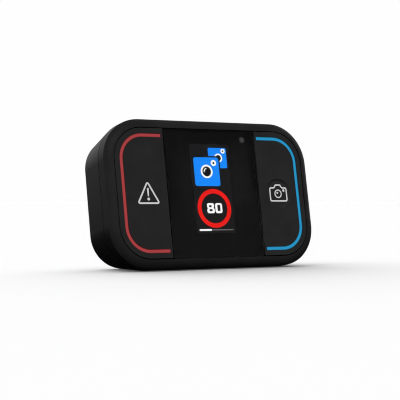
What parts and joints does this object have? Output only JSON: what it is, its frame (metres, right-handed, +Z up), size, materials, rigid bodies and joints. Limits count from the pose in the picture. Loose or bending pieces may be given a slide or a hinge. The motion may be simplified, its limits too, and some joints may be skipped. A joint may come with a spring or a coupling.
{
  "type": "road alert unit",
  "caption": "Pocket-sized black road alert unit with a colour display between large push buttons ringed by light stripes, leaning back on its tapered base.",
  "frame": {"origin": "centre of the bounding box on the surface the unit stands on", "axes": "+X to the right as seen from the front, +Y from the front panel to the back, +Z up. The front panel leans back 10.19 degrees."},
  "size_m": [0.0576, 0.0208, 0.0358],
  "materials": {
    "adhesive": "black tape",
    "battery_foil": "laminated foil pouch",
    "board_green": "solder mask on laminate",
    "button_black": "soft-touch matte black",
    "ceramic": "ceramic chip parts",
    "chip_black": "moulded chip package",
    "clear_plastic": "clear light pipe",
    "connector_ivory": "moulded connector",
    "diaphragm": "film diaphragm",
    "display_glass": "polarised display glass",
    "display_white": "white reflector tray",
    "flex_amber": "polyimide ribbon",
    "foam": "closed-cell foam",
    "inlet_steel": "nickel-plated stainless",
    "inner_plastic": "moulded dark grey",
    "lamp_white": "lamp package",
    "lead_black": "insulated lead",
    "lead_red": "insulated lead",
    "lens_black": "clear acrylic over black ink, high gloss",
    "magnet": "nickel-plated magnet",
    "mask_ink": "printed black ink",
    "screw_steel": "blackened steel",
    "shell_black": "fine-textured satin black",
    "silicone": "grey silicone",
    "steel": "plated steel",
    "stripe_blue": "translucent blue light guide",
    "stripe_red": "translucent red light guide",
    "symbol_white": "white two-shot inlay"
  },
  "bodies": {
    "housing": {"battery": "battery_foil", "battery_board": "board_green", "battery_connector": "connector_ivory", "battery_lead_minus": "lead_black", "battery_lead_plus": "lead_red", "battery_pad": "foam", "board_screws": "screw_steel", "charger_chip": "chip_black", "display_backlight": "display_white", "display_cell": "display_glass", "display_connector": "connector_ivory", "display_driver": "chip_black", "display_flex": "flex_amber", "display_foam": "foam", "display_lens": "lens_black", "display_polariser": "display_glass", "front_bezel": "shell_black", "housing_screws": "screw_steel", "inductor": "ceramic", "inner_frame": "inner_plastic", "lens_adhesive": "adhesive", "lens_mask": "mask_ink", "light_sensor": "chip_black", "main_board": "board_green", "motion_sensor": "chip_black", "mount_plate": "steel", "processor": "chip_black", "radio_board": "board_green", "radio_can": "steel", "rear_housing": "shell_black", "sensor_light_pipe": "clear_plastic", "small_parts": "ceramic", "speaker_cone": "diaphragm", "speaker_frame": "inner_plastic", "speaker_gasket": "foam", "speaker_leads": "lead_black", "speaker_magnet": "magnet", "stripe_lights_left": "lamp_white", "stripe_lights_right": "lamp_white", "switch_case_left": "chip_black", "switch_case_right": "chip_black", "switch_dome_left": "steel", "switch_dome_right": "steel", "usb_shell": "inlet_steel", "usb_tongue": "chip_black"},
    "button_left": {"button_left": "button_black", "stripe_left": "stripe_red", "warning_symbol": "symbol_white", "button_pad_left": "silicone", "switch_plunger_left": "connector_ivory"},
    "button_right": {"button_right": "button_black", "stripe_right": "stripe_blue", "camera_symbol": "symbol_white", "button_pad_right": "silicone", "switch_plunger_right": "connector_ivory"}
  },
  "joints": [
    {"name": "button_left_press", "type": "slide", "parent": "housing", "child": "button_left", "axis": [0, 0.9842, -0.1769], "range_m": [0, 0.00035], "stiffness_N_per_m": 4500, "springref_m": -0.00002, "deforming": ["switch_dome_left"]},
    {"name": "button_right_press", "type": "slide", "parent": "housing", "child": "button_right", "axis": [0, 0.9842, -0.1769], "range_m": [0, 0.00035], "stiffness_N_per_m": 4500, "springref_m": -0.00002, "deforming": ["switch_dome_right"]}
  ]
}
